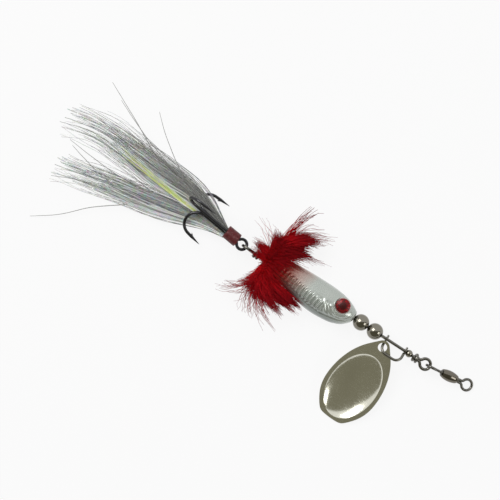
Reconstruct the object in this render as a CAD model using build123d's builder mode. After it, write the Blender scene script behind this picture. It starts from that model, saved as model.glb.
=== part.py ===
"""In-line spinner: swivel, wire shaft, clevis and blade, beads, minnow body, feather collar, dressed treble.

Millimetres. The origin is the centre of the line eye, +X runs along the shaft towards the line,
+Z is up from the table that the lure lies on, +Y is the back (dorsal) side of the minnow body.
"""

import os
from math import asin, cos, degrees, radians, sin, sqrt

from build123d import *

# ---------------------------------------------------------------- driving dimensions
# wires and running clearances
shaft_wire_r = 0.45          # main wire
swivel_wire_r = 0.40         # wire of the swivel's two eyes
clevis_wire_r = 0.40         # wire of the stirrup clevis
hook_wire_r = 0.45           # wire of the treble
run_clear = 0.06             # radial clearance of what turns on the shaft
end_clear = 0.08             # end clearance between neighbours on the shaft
link_clear = 0.10            # clearance between two linked loops
soft_clear = 0.30            # feather, thread and tail fibre to their neighbours

# swivel
line_eye_height = 0.86       # centre of the line eye above the table
swivel_yaw = 6.4             # degrees that the swivel turns towards +Y
swivel_ring_r = 1.60         # centre-line radius of both swivel eyes
swivel_leg_offset = 0.38     # half the spacing of the two wire legs
swivel_flare_r = 0.80        # bend from leg to ring
eye_reach = 6.00             # ring centre to barrel centre
barrel_length = 4.90
barrel_r = 1.60
barrel_end_r = 1.15
barrel_wall = 0.32
neck_length = 0.40           # wall of the barrel's two necks
stem_r = 0.80                # round stem that turns in a neck
head_r = 1.08                # upset head behind the neck
head_length = 0.50
land_depth = 0.03            # coined land inside the line eye

# shaft wire
loop_ring_r = 1.55           # centre-line radius of the front loop
rear_ring_r = 1.50           # centre-line radius of the rear loop
loop_leg_offset = 0.25
loop_flare_r = 1.00
loop_neck = 2.45             # ring centre to the first wrap
wrap_pitch = 0.96
wrap_turns = 1.60

# beads, clevis and blade
bearing_bead_r = 1.10
bead_r = 2.38
ear_r = 1.30
ear_thick = 0.50
ear_spacing = 6.40           # between the middles of the two ears
clevis_depth = 4.30          # shaft centre to the middle of the stirrup's cross wire
clevis_bend_r = 2.10
clevis_lift = 26.0           # degrees that the stirrup stands up from the table
blade_play = 1.35            # free run between the rear ear and the front bead
blade_length = 27.8
blade_half_width = 8.25
blade_thick = 0.50
blade_tip_r = 2.00
blade_hole_r = 1.32
blade_hole_depth = 2.89      # hole centre from the shaft, along the stirrup
blade_hole_ahead = 0.25      # hole centre in front of the rear ear
blade_pitch = 11.0           # degrees that the blade slopes down from its tip
blade_yaw = 3.0              # degrees that it trails towards the tail
blade_flank = 50.0           # degrees between the blade's flank at the tip and its across direction
dish_length = 21.2
dish_width = 14.2
dish_depth = 1.85
dish_margin = 1.0            # flat rim at the wide end
dish_rise = 1.0              # the dish is the lower part of an ellipsoid centred this far above the rim

# minnow body
body_length = 27.3
body_back = 4.35             # shaft to the back, at the deepest station
body_belly = 5.50            # shaft to the belly
body_thick = 8.40
tube_r = 0.90
spigot_length = 3.60         # tube standing out behind the tail
eye_r = 2.20
eye_from_nose = 4.70
eye_above_shaft = 1.15
eye_seat = 2.90              # flat seat of an eye from the body's middle plane
eye_edge = 0.42
eye_dome = 0.60

# feather collar and its binding
thread_r = 1.70
thread_length = 2.40
collar_ahead = 1.00          # collar centre in front of the thread's middle
collar_reach_back = 6.60     # collar centre to its rear edge
collar_radius = 8.60
collar_lobes = ((6.2, 7.0, 0.4, 4.0), (3.0, -8.0, 0.0, 4.4))  # ahead, towards the back, up, radius
rear_play = 1.00             # free run between the tube and the rear wraps

# treble, in the direction of its shank from the eye centre
hook_ring_r = 1.50
hook_leg_offset = 0.43
hook_flare_r = 1.00
hook_shank = 13.4            # eye centre to the start of the bend
hook_bend_r = 3.65
hook_spread = 6.0            # degrees that a spear opens away from the shank
spear_length = 1.50          # straight wire from the bend to the point's taper
point_length = 3.10
point_r = 0.06
barb_root = 2.10             # where the barb's cut starts, behind the tip
barb_heel = 3.30
barb_reach = 3.90            # the barb's own tip, behind the hook's tip
barb_height = 0.95
barb_thick = 0.36
hook_angle = 120.0           # degrees between two hooks about the shank
shank_gap = 0.02             # between the third hook's shank and the double hook's
ring_leg_lap = 1.50          # the ring's legs run this far into the shanks
third_setback = 3.0          # the third hook's bend lies this much further back
hook_yaw = 6.7               # degrees that the shank turns towards +Y, going back
hook_rise = 6.9              # degrees that it climbs, going back
hook_roll = 78.0             # third hook, degrees about the shank from +Y towards +Z
whip_start = 1.80
whip_length = 3.80
whip_r = 2.00
whip_wall = 0.70
root_gap = 0.60              # whipping to the roots of the tail

# tail: millimetres behind the hook eye, towards the back, half width, height above the table, half height
tinsel_upper_stations = (
    (10.0, 2.2, 1.3, 3.0, 1.4),
    (15.0, 3.3, 2.4, 2.9, 1.9),
    (21.0, 4.4, 3.7, 2.7, 2.1),
    (30.0, 4.8, 4.3, 2.3, 1.9),
    (40.0, 5.6, 4.1, 1.9, 1.6),
    (49.0, 6.5, 4.5, 1.5, 1.2),
    (57.0, 7.2, 4.3, 1.1, 0.85),
    (63.0, 7.0, 2.8, 0.8, 0.50),
)
tinsel_lower_stations = (
    (10.0, -0.3, 0.8, 2.8, 1.2),
    (15.0, -0.5, 1.1, 2.3, 1.5),
    (21.0, -1.9, 2.2, 2.2, 1.6),
    (30.0, -3.8, 3.0, 2.0, 1.6),
    (40.0, -5.3, 3.0, 1.7, 1.4),
    (48.0, -7.1, 3.3, 1.3, 1.0),
    (55.0, -8.6, 3.4, 1.0, 0.70),
    (60.0, -8.9, 2.1, 0.75, 0.42),
)
hair_stations = (
    (10.0, 4.1, 0.9, 5.5, 0.55),
    (15.0, 6.3, 2.1, 5.3, 0.55),
    (21.0, 7.6, 2.9, 5.2, 0.60),
    (30.0, 8.0, 2.5, 5.0, 0.55),
    (38.0, 8.6, 1.9, 4.5, 0.50),
    (46.0, 9.2, 1.2, 3.7, 0.35),
)

os.makedirs("parts", exist_ok=True)


def write(part, name):
    """Label a finished piece and write its STEP file."""
    part.label = name
    export_step(part, f"parts/{name}.step")
    print(f"{name}: volume {part.volume:.2f}")


# ---------------------------------------------------------------- stations worked out from them
table_z = -line_eye_height
shaft_z = table_z + body_thick / 2
link_offset = swivel_ring_r - shaft_wire_r - swivel_wire_r - link_clear
pivot_reach = 2 * eye_reach + link_offset
swivel_droop = degrees(asin(shaft_z / pivot_reach))

yaw = radians(swivel_yaw)
droop = radians(swivel_droop)
swivel_back = Vector(-cos(yaw) * cos(droop), -sin(yaw) * cos(droop), sin(droop))
swivel_normal = Vector(cos(yaw) * sin(droop), sin(yaw) * sin(droop), cos(droop))
swivel_side = swivel_normal.cross(swivel_back)
barrel_centre = swivel_back * eye_reach
link_centre = swivel_back * (2 * eye_reach)
front_pivot = swivel_back * pivot_reach

front_loop = front_pivot + Vector(-cos(yaw), -sin(yaw), 0) * loop_ring_r
shaft_y = front_loop.Y
wrap_length = wrap_turns * wrap_pitch
wrap_r = 2 * shaft_wire_r + run_clear


def half_bore_chord(ball_r, bore_r):
    """Half the length of a bead along its bore."""
    return sqrt(ball_r**2 - bore_r**2)


bore_r = shaft_wire_r + run_clear
bearing_half = half_bore_chord(bearing_bead_r, bore_r)
bead_half = half_bore_chord(bead_r, bore_r)

front_wrap_x = front_loop.X - loop_neck
bearing_x = front_wrap_x - wrap_length - shaft_wire_r - end_clear - bearing_half
front_ear_x = bearing_x - bearing_half - end_clear - ear_thick / 2
rear_ear_x = front_ear_x - ear_spacing
bead_front_x = rear_ear_x - ear_thick / 2 - blade_play - bead_half
bead_rear_x = bead_front_x - 2 * bead_half - end_clear
nose_x = bead_rear_x - bead_half - end_clear
tail_x = nose_x - body_length
tube_rear_x = tail_x - spigot_length
rear_wrap_x = tube_rear_x - rear_play - wrap_length - shaft_wire_r
rear_loop_x = rear_wrap_x - loop_neck
rear_pivot = Vector(rear_loop_x - rear_ring_r, shaft_y, shaft_z)
hook_offset = hook_ring_r - shaft_wire_r - hook_wire_r - link_clear

shaft_at = Plane(origin=(0, shaft_y, shaft_z), x_dir=(0, 1, 0), z_dir=(1, 0, 0))


def across_shaft(x):
    """The plane across the shaft at x: its own x is the lure's +Y, its own y is +Z."""
    return shaft_at.offset(x)


def wire_loop(plane, ring_r, leg_offset, flare_r, leg_end, wire_r):
    """A loop formed in wire: a ring at the plane's origin with two legs along its +X."""
    flare_angle = asin((leg_offset + flare_r) / (ring_r + flare_r))
    flare_x = (ring_r + flare_r) * cos(flare_angle)
    touch = (ring_r * cos(flare_angle), ring_r * sin(flare_angle))
    ring_middle = (degrees(flare_angle) + 180) / 2
    flare_middle = radians((degrees(flare_angle) + 90) / 2)
    flare_turn = (flare_x - flare_r * cos(flare_middle), leg_offset + flare_r - flare_r * sin(flare_middle))
    ring_turn = (ring_r * cos(radians(ring_middle)), ring_r * sin(radians(ring_middle)))
    with BuildPart() as loop:
        with BuildLine(plane) as path:
            ThreePointArc((-ring_r, 0), ring_turn, touch)
            ThreePointArc(touch, flare_turn, (flare_x, leg_offset))
            Line((flare_x, leg_offset), (leg_end, leg_offset))
        with BuildSketch(Plane(origin=path.line @ 0, z_dir=path.line % 0)):
            Circle(wire_r)
        sweep()
        mirror(about=Plane(origin=plane.origin, x_dir=plane.x_dir, z_dir=plane.y_dir))
    return loop.part


# ---------------------------------------------------------------- swivel
head_start = eye_reach - barrel_length / 2 + neck_length + end_clear


def swivel_eye(plane, name, land):
    """An eye of the swivel: wire ring, stem in the barrel's neck, and the upset head behind it."""
    ring = wire_loop(plane, swivel_ring_r, swivel_leg_offset, swivel_flare_r, head_start, swivel_wire_r)
    stem_start = eye_reach - barrel_length / 2 - 0.4 * stem_r
    stem_plane = Plane(origin=plane.origin, x_dir=plane.y_dir, z_dir=plane.x_dir)
    with BuildPart() as eye:
        add(ring)
        with BuildSketch(stem_plane.offset(stem_start)):
            Circle(stem_r)
        extrude(amount=head_start + head_length - stem_start)
        with BuildSketch(stem_plane.offset(head_start)):
            Circle(head_r)
        extrude(amount=head_length)
        if land:
            with BuildSketch(plane.offset(-swivel_wire_r)):
                Circle(swivel_ring_r - swivel_wire_r + land_depth)
            extrude(amount=2 * swivel_wire_r, mode=Mode.SUBTRACT)
    write(eye.part, name)


line_eye_plane = Plane(origin=(0, 0, 0), x_dir=swivel_back, z_dir=swivel_normal)
link_eye_plane = Plane(origin=link_centre, x_dir=-swivel_back, z_dir=swivel_side)
swivel_eye(line_eye_plane, "line_eye", True)
swivel_eye(link_eye_plane, "link_eye", False)

with BuildPart() as swivel_barrel:
    half = barrel_length / 2
    inner_half = half - neck_length
    inner_r = barrel_r - barrel_wall
    inner_end_r = max(barrel_end_r - 0.1 * barrel_wall, head_r + run_clear)
    with BuildSketch(Plane(origin=barrel_centre, x_dir=swivel_back, z_dir=swivel_side)):
        with BuildLine():
            ThreePointArc((-half, barrel_end_r), (0, barrel_r), (half, barrel_end_r))
            Line((half, barrel_end_r), (half, stem_r + run_clear))
            Line((half, stem_r + run_clear), (inner_half, stem_r + run_clear))
            Line((inner_half, stem_r + run_clear), (inner_half, inner_end_r))
            ThreePointArc((inner_half, inner_end_r), (0, inner_r), (-inner_half, inner_end_r))
            Line((-inner_half, inner_end_r), (-inner_half, stem_r + run_clear))
            Line((-inner_half, stem_r + run_clear), (-half, stem_r + run_clear))
            Line((-half, stem_r + run_clear), (-half, barrel_end_r))
        make_face()
    revolve(axis=Axis(barrel_centre, swivel_back))
write(swivel_barrel.part, "swivel_barrel")


# ---------------------------------------------------------------- shaft wire
def wraps(start_x):
    """The tag end of the wire, wound round the shaft from start_x towards +X."""
    with BuildPart() as winding:
        with BuildLine() as path:
            Helix(wrap_pitch, wrap_length, wrap_r, center=(start_x, shaft_y, shaft_z), direction=(1, 0, 0))
        with BuildSketch(Plane(origin=path.line @ 0, z_dir=path.line % 0)):
            Circle(shaft_wire_r)
        sweep(is_frenet=True)
    return winding.part


front_loop_plane = Plane(origin=front_loop, x_dir=(-1, 0, 0), z_dir=(0, 0, 1))
rear_loop_plane = Plane(origin=(rear_loop_x, shaft_y, shaft_z), x_dir=(1, 0, 0), z_dir=(0, 1, 0))
leg_end = loop_neck + shaft_wire_r
front_ring = wire_loop(front_loop_plane, loop_ring_r, loop_leg_offset, loop_flare_r, leg_end, shaft_wire_r)
rear_ring = wire_loop(rear_loop_plane, rear_ring_r, loop_leg_offset, loop_flare_r, leg_end, shaft_wire_r)
front_wraps = wraps(front_wrap_x - wrap_length)
rear_wraps = wraps(rear_wrap_x)

with BuildPart() as shaft_wire:
    with BuildSketch(across_shaft(rear_wrap_x)):
        Circle(shaft_wire_r)
    extrude(amount=front_wrap_x - rear_wrap_x)
    add(front_ring)
    add(rear_ring)
    add(front_wraps)
    add(rear_wraps)
write(shaft_wire.part, "shaft_wire")
wrap_gap = wrap_pitch - 2 * shaft_wire_r
print(f"wraps: {wrap_turns} turns, gap between turns {wrap_gap:.2f}, to the shaft {run_clear:.2f}")


# ---------------------------------------------------------------- beads
def bead(x, ball_r, name):
    """A drilled ball on the shaft."""
    with BuildPart(across_shaft(x)) as ball:
        Sphere(ball_r)
        Cylinder(bore_r, 2 * ball_r, mode=Mode.SUBTRACT)
    write(ball.part, name)


bead(bearing_x, bearing_bead_r, "bearing_bead")
bead(bead_front_x, bead_r, "bead_front")
bead(bead_rear_x, bead_r, "bead_rear")

# ---------------------------------------------------------------- clevis
lift = radians(clevis_lift)
clevis_out = Vector(0, -cos(lift), sin(lift))
clevis_plane = Plane(origin=(rear_ear_x, shaft_y, shaft_z), x_dir=(1, 0, 0), z_dir=Vector(1, 0, 0).cross(clevis_out))
leg_start = bore_r + clevis_wire_r

with BuildPart() as clevis:
    with BuildLine(clevis_plane) as stirrup:
        FilletPolyline(
            (0, leg_start),
            (0, clevis_depth),
            (ear_spacing, clevis_depth),
            (ear_spacing, leg_start),
            radius=clevis_bend_r,
        )
    with BuildSketch(Plane(origin=stirrup.line @ 0, z_dir=stirrup.line % 0)):
        Circle(clevis_wire_r)
    sweep()
    for ear_x in (rear_ear_x, front_ear_x):
        with BuildSketch(across_shaft(ear_x - ear_thick / 2)):
            Circle(ear_r)
        extrude(amount=ear_thick)
        with BuildSketch(across_shaft(ear_x - ear_r)):
            Circle(bore_r)
        extrude(amount=2 * ear_r, mode=Mode.SUBTRACT)
write(clevis.part, "clevis")

# ---------------------------------------------------------------- blade
blade_hole = Vector(rear_ear_x + blade_hole_ahead, shaft_y, shaft_z) + clevis_out * blade_hole_depth
heading = radians(blade_yaw)
slope = radians(blade_pitch)
blade_across = Vector(cos(heading), -sin(heading), 0)
blade_tipward = Vector(sin(heading) * cos(slope), cos(heading) * cos(slope), sin(slope))
blade_plane = Plane(origin=blade_hole, x_dir=blade_across, z_dir=blade_across.cross(blade_tipward))
blade_end = blade_tip_r - blade_length
dish_centre = blade_end + dish_margin + dish_length / 2


def dish_ellipsoid(wall):
    """The ellipsoid that the dish is pressed to; wall grows it to the dish's outer side."""
    depth = dish_depth + dish_rise
    widen = 1 / sqrt(1 - (dish_rise / depth) ** 2)
    sizes = (dish_width / 2 * widen + wall, dish_length / 2 * widen + wall, depth + wall)
    ball = scale(Sphere(1), by=sizes)
    return blade_plane * Pos(0, dish_centre, blade_thick / 2 + dish_rise) * ball


def blade_outline(plane):
    """The blade's flat outline as one face: round tip about the hole, widest near the far end."""
    flank = radians(blade_flank)
    foot = (blade_tip_r * sin(flank), blade_tip_r * cos(flank))
    with BuildSketch(plane) as face:
        with BuildLine():
            ThreePointArc((-foot[0], foot[1]), (0, blade_tip_r), foot)
            side = Spline(
                foot,
                (0.57 * blade_half_width, 0.10 * blade_end),
                (blade_half_width, 0.57 * blade_end),
                (0.86 * blade_half_width, 0.80 * blade_end),
                (0.53 * blade_half_width, 0.955 * blade_end),
                (0, blade_end),
                tangents=((cos(flank), -sin(flank)), (-1, 0)),
            )
            mirror(side, about=Plane.YZ)
        make_face()
    return face.sketch


dish_outer = dish_ellipsoid(blade_thick)
dish_inner = dish_ellipsoid(0)
with BuildPart() as dish:
    add(dish_outer)
    split(bisect_by=blade_plane, keep=Keep.BOTTOM)

with BuildPart() as spinner_blade:
    add(blade_outline(blade_plane.offset(-blade_thick / 2)))
    extrude(amount=blade_thick)
    add(dish.part)
    add(dish_inner, mode=Mode.SUBTRACT)
    with BuildSketch(blade_plane.offset(-blade_thick)):
        Circle(blade_hole_r)
    extrude(amount=2 * blade_thick, mode=Mode.SUBTRACT)
write(spinner_blade.part, "spinner_blade")
print(f"blade lowest point above the table {spinner_blade.part.bounding_box().min.Z - table_z:.2f}")

# ---------------------------------------------------------------- minnow body
# stations: share of the length from the nose, then shares of back, belly and thickness
body_stations = (
    (0.000, 0.40, 0.27, 0.36),
    (0.055, 0.60, 0.56, 0.62),
    (0.170, 0.87, 0.86, 0.88),
    (0.300, 0.98, 0.97, 0.98),
    (0.430, 1.00, 1.00, 1.00),
    (0.580, 0.98, 0.92, 0.95),
    (0.740, 0.94, 0.72, 0.84),
    (0.880, 0.86, 0.56, 0.72),
    (1.000, 0.72, 0.44, 0.58),
)

with BuildPart() as minnow_blank:
    for along, back, belly, thick in body_stations:
        top = back * body_back
        bottom = belly * body_belly
        with BuildSketch(across_shaft(nose_x - along * body_length)):
            with Locations(((top - bottom) / 2, 0)):
                Ellipse((top + bottom) / 2, thick * body_thick / 2)
    loft()

eye_x = nose_x - eye_from_nose
eye_y = shaft_y + eye_above_shaft
with BuildPart() as minnow_body:
    add(minnow_blank.part)
    with BuildSketch(across_shaft(tail_x - tube_r)):
        Circle(tube_r)
    extrude(amount=body_length + 2 * tube_r, mode=Mode.SUBTRACT)
    for side in (1, -1):
        with BuildSketch(Plane(origin=(eye_x, eye_y, shaft_z + side * eye_seat), x_dir=(1, 0, 0), z_dir=(0, 0, side))):
            Circle(eye_r)
        extrude(amount=body_thick, mode=Mode.SUBTRACT)
write(minnow_body.part, "minnow_body")

with BuildPart() as body_tube:
    with BuildSketch(across_shaft(tube_rear_x)):
        Circle(tube_r)
        Circle(bore_r, mode=Mode.SUBTRACT)
    extrude(amount=nose_x - tube_rear_x)
write(body_tube.part, "body_tube")


def fish_eye(side, name):
    """A domed eye on its flat seat: side is 1 for the upper flank and -1 for the lower."""
    dome_r = (eye_r**2 + eye_dome**2) / (2 * eye_dome)
    with BuildPart() as eye:
        with BuildSketch(Plane(origin=(eye_x, eye_y, shaft_z), x_dir=(1, 0, 0), z_dir=(0, -1, 0))):
            with BuildLine():
                foot = side * eye_seat
                edge = foot + side * eye_edge
                crown = edge + side * eye_dome
                Line((0, foot), (eye_r, foot))
                Line((eye_r, foot), (eye_r, edge))
                RadiusArc((eye_r, edge), (0, crown), -side * dome_r)
                Line((0, crown), (0, foot))
            make_face()
        revolve(axis=Axis((eye_x, eye_y, shaft_z), (0, 0, 1)))
    write(eye.part, name)
    return eye.part


fish_eye(1, "eye_left")
far_eye = fish_eye(-1, "eye_right")
print(f"far eye above the table {far_eye.bounding_box().min.Z - table_z:.2f}")

# ---------------------------------------------------------------- collar binding and feather collar
thread_x = tube_rear_x + soft_clear
with BuildPart() as collar_thread:
    with BuildSketch(across_shaft(thread_x)):
        Circle(thread_r)
        Circle(tube_r, mode=Mode.SUBTRACT)
    extrude(amount=thread_length)
    fillet(collar_thread.edges().filter_by(GeomType.CIRCLE).group_by(SortBy.RADIUS)[-1], 0.35 * (thread_r - tube_r))
write(collar_thread.part, "collar_thread")

collar_x = thread_x + thread_length / 2 + collar_ahead
collar_back_x = collar_x - collar_reach_back

# the body's girth where the collar's front edge reaches it
girth_back = body_stations[6][1] * body_back
girth_belly = body_stations[6][2] * body_belly

with BuildPart() as feather_collar:
    with BuildSketch(Plane(origin=(collar_x, shaft_y, shaft_z), x_dir=(1, 0, 0), z_dir=(0, 0, 1))):
        with BuildLine():
            ThreePointArc((-collar_reach_back, 0), (0, collar_radius), (collar_reach_back, 0))
            Line((-collar_reach_back, 0), (collar_reach_back, 0))
        make_face()
    revolve(axis=Axis((collar_x, shaft_y, shaft_z), (1, 0, 0)))
    for ahead, aside, above, lobe_r in collar_lobes:
        with Locations((collar_x + ahead, shaft_y + aside, shaft_z + above)):
            Sphere(lobe_r)
    split(bisect_by=Plane.XY.offset(table_z), keep=Keep.TOP)
    with BuildSketch(across_shaft(collar_back_x - soft_clear)):
        Circle(thread_r + soft_clear)
    extrude(amount=4 * collar_reach_back, mode=Mode.SUBTRACT)
    with BuildSketch(across_shaft(tail_x - soft_clear)):
        with Locations(((girth_back - girth_belly) / 2, 0)):
            Circle((girth_back + girth_belly) / 2 + soft_clear)
    extrude(amount=body_length, mode=Mode.SUBTRACT)
write(feather_collar.part, "feather_collar")

# ---------------------------------------------------------------- treble
hook_heading = radians(hook_yaw)
climb = radians(hook_rise)
hook_back = Vector(-cos(hook_heading) * cos(climb), sin(hook_heading) * cos(climb), sin(climb))
level_side = Vector(sin(hook_heading), cos(hook_heading), 0)
level_up = level_side.cross(hook_back)
crown = level_side * cos(radians(hook_roll)) + level_up * sin(radians(hook_roll))
hook_eye = rear_pivot + Vector(-cos(hook_heading), sin(hook_heading), 0) * hook_offset
hook_plane = Plane(origin=hook_eye, x_dir=hook_back, z_dir=crown)
third_height = sqrt((2 * hook_wire_r + shank_gap) ** 2 - hook_leg_offset**2)


def one_hook(base, outward, leg_from, shank, wire_r):
    """Shank, bend, spear and point in one plane: base is on the shank, outward points to the spear."""
    profile = Plane(origin=base, x_dir=hook_back, z_dir=hook_back.cross(outward))
    spread = radians(hook_spread)
    centre = Vector(shank, hook_bend_r)
    turn_end = centre + Vector(sin(spread), cos(spread)) * hook_bend_r
    spear_way = Vector(-cos(spread), sin(spread))
    taper_start = turn_end + spear_way * spear_length
    tip = taper_start + spear_way * point_length
    with BuildPart() as hook:
        with BuildLine(profile) as path:
            Line((leg_from, 0), (shank, 0))
            ThreePointArc((shank, 0), (shank + hook_bend_r, hook_bend_r), (turn_end.X, turn_end.Y))
            Line((turn_end.X, turn_end.Y), (taper_start.X, taper_start.Y))
        with BuildSketch(Plane(origin=path.line @ 0, z_dir=path.line % 0)):
            Circle(wire_r)
        sweep()
        spear_dir = path.line % 1
        with BuildSketch(Plane(origin=path.line @ 1, z_dir=spear_dir)):
            Circle(wire_r)
        with BuildSketch(Plane(origin=(path.line @ 1) + spear_dir * point_length, z_dir=spear_dir)):
            Circle(point_r + wire_r - hook_wire_r)
        loft()
        root = tip - spear_way * barb_root
        heel = tip - spear_way * barb_heel
        barb_tip = tip - spear_way * barb_reach + Vector(-spear_way.Y, spear_way.X) * barb_height
        with BuildSketch(profile.offset(-barb_thick / 2)):
            with BuildLine():
                Polyline(
                    (root.X, root.Y),
                    (barb_tip.X, barb_tip.Y),
                    (heel.X, heel.Y),
                    close=True,
                )
            make_face()
        extrude(amount=barb_thick)
    return hook.part


def double_and_third(wire_r):
    """The double hook's pair of arms and the third hook, in wire of radius wire_r."""
    arms = []
    between = radians(hook_angle)
    for side in (1, -1):
        base = hook_eye + hook_plane.y_dir * side * hook_leg_offset
        outward = hook_plane.y_dir * side * sin(between) + crown * cos(between)
        arms.append(one_hook(base, outward, hook_ring_r + hook_flare_r, hook_shank, wire_r))
    third_base = hook_eye + crown * third_height
    third = one_hook(third_base, crown, whip_start, hook_shank + third_setback, wire_r)
    return arms, third


arms, third_hook = double_and_third(hook_wire_r)
ring_leg_end = hook_ring_r + ring_leg_lap
hook_ring = wire_loop(hook_plane, hook_ring_r, hook_leg_offset, hook_flare_r, ring_leg_end, hook_wire_r)
with BuildPart() as treble_double_hook:
    add(hook_ring)
    add(arms[0])
    add(arms[1])
write(treble_double_hook.part, "treble_double_hook")
write(third_hook, "treble_third_hook")
lowest_hook = treble_double_hook.part.bounding_box().min.Z - table_z
print(f"lowest hook above the table {lowest_hook:.2f}")

# ---------------------------------------------------------------- whipping and tail
whip_axis = hook_eye + crown * third_height / 3
whip_plane = Plane(origin=whip_axis + hook_back * whip_start, x_dir=crown, z_dir=hook_back)
with BuildPart() as hook_thread:
    with BuildSketch(whip_plane):
        Circle(whip_r)
        Circle(whip_r - whip_wall, mode=Mode.SUBTRACT)
    extrude(amount=whip_length)
    fillet(hook_thread.edges().filter_by(GeomType.CIRCLE).group_by(SortBy.RADIUS)[-1], 0.5 * whip_wall)
write(hook_thread.part, "hook_thread")

tail_root = (whip_start + whip_length) * cos(climb) * cos(hook_heading) + root_gap
root_height = whip_axis.Z + (whip_start + whip_length) * sin(climb) - table_z
clear_arms, clear_third = double_and_third(hook_wire_r + soft_clear)


def tail_lobe(root, stations, name):
    """A lobe of the tail, lofted from its root at the whipping to its tips and kept clear of the hooks."""
    with BuildPart() as lobe:
        for back, aside, half_width, height, half_height in (root, *stations):
            with BuildSketch(across_shaft(hook_eye.X - back)):
                with Locations((aside, table_z + height - shaft_z)):
                    Ellipse(half_width, half_height)
        loft()
        for hook in (*clear_arms, clear_third):
            add(hook, mode=Mode.SUBTRACT)
    print(f"{name}: {len(lobe.part.solids())} solid")
    write(lobe.part, name)


tail_lobe((tail_root, 2.1, 0.6, root_height - 1.6, 0.8), tinsel_upper_stations, "tail_tinsel_upper")
tail_lobe((tail_root, -0.2, 0.7, root_height - 1.7, 0.7), tinsel_lower_stations, "tail_tinsel_lower")
tail_lobe((tail_root, 2.5, 0.45, root_height + 0.3, 0.45), hair_stations, "tail_hair")
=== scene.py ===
"""In-line spinner on a pale table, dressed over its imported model. Metres; +X runs towards the line."""

import math

import bpy
import numpy as np
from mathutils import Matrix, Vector


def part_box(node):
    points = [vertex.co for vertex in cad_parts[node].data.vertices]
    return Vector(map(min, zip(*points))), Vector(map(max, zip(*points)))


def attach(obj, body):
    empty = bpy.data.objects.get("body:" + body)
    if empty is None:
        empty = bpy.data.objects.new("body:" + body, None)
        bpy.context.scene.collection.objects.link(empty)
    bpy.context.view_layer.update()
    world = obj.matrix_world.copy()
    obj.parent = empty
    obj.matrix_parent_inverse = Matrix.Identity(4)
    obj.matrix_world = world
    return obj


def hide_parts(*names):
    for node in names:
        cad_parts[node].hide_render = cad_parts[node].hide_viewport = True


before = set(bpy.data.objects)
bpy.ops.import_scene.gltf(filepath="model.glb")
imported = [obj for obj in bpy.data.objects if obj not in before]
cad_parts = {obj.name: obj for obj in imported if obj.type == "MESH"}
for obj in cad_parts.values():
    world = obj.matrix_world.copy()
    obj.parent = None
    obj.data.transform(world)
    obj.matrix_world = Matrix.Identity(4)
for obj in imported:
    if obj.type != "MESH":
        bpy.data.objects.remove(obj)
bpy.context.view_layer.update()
mm = 0.001

# ---------------------------------------------------------------- table, lamps and camera
# The lure lies on a plain white table under a soft overhead lamp and a weaker one at its far side.
# A dim glowing card stands over the lure, as whoever leans over a table does; it is a painted dark reflection
# that only polished metal mirrors.
tube_low, tube_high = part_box("body_tube")
shaft_y = (tube_low.y + tube_high.y) / 2
shaft_z = (tube_low.z + tube_high.z) / 2
table_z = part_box("minnow_body")[0].z
hook_eye_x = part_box("shaft_wire")[0].x


class Sock:
    """A node's output. Arithmetic on it adds Math nodes, and add() puts in any other node."""

    def __init__(self, tree, socket=None):
        self.tree, self.socket = tree, socket

    def add(self, kind, settings=(), inputs=(), out=0):
        node = self.tree.nodes.new(kind)
        for name, value in dict(settings).items():
            if name == "stops":
                ramp = node.color_ramp
                while len(ramp.elements) < len(value):
                    ramp.elements.new(1.0)
                for element, (at, colour) in zip(ramp.elements, value):
                    element.position, element.color = at, (*colour, 1)
            else:
                setattr(node, name, value)
        for name, value in dict(inputs).items():
            if isinstance(value, Sock):
                self.tree.links.new(value.socket, node.inputs[name])
            else:
                node.inputs[name].default_value = value
        return Sock(self.tree, node.outputs[out])

    def math(self, operation, *values):
        return self.add("ShaderNodeMath", {"operation": operation}, dict(enumerate(values)))

    def __add__(self, other):
        return self.math("ADD", self, other)

    def __sub__(self, other):
        return self.math("SUBTRACT", self, other)

    def __rsub__(self, other):
        return self.math("SUBTRACT", other, self)

    def __mul__(self, other):
        return self.math("MULTIPLY", self, other)

    def __truediv__(self, other):
        return self.math("DIVIDE", self, other)

    __radd__, __rmul__ = __add__, __mul__


def blend(s, share, low, high, **settings):
    """A colour between low and high; each is a Sock or three numbers."""
    colours = {
        6 + i: end if isinstance(end, Sock) else (*end, 1) for i, end in enumerate((low, high))
    }
    return s.add("ShaderNodeMix", {"data_type": "RGBA", **settings}, {0: share, **colours}, 2)


def new_material(name):
    """An empty material, its output's surface socket and a Sock to build with."""
    material = bpy.data.materials.new(name)
    material.use_nodes = True
    material.node_tree.nodes.clear()
    output = material.node_tree.nodes.new("ShaderNodeOutputMaterial")
    return material, output.inputs["Surface"], Sock(material.node_tree)


def seen_ray(s):
    """1 for what the camera sees, directly or in a mirror or glass, else 0."""
    path = s.tree.nodes.new("ShaderNodeLightPath")
    rays = [Sock(s.tree, path.outputs[f"Is {ray} Ray"]) for ray in ("Camera", "Glossy", "Transmission")]
    return s.math("MAXIMUM", s.math("MAXIMUM", rays[0], rays[1]), rays[2])


def plane_mesh(name, half_x, half_y, matrix=None):
    """A flat rectangle about the origin, or where matrix puts it."""
    mesh = bpy.data.meshes.new(name)
    signs = ((-1, -1), (1, -1), (1, 1), (-1, 1))
    corners = [Vector((x * half_x, y * half_y, 0)) for x, y in signs]
    mesh.from_pydata([matrix @ c if matrix else c for c in corners], [], [(0, 1, 2, 3)])
    obj = bpy.data.objects.new(name, mesh)
    bpy.context.scene.collection.objects.link(obj)
    return obj


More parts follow.
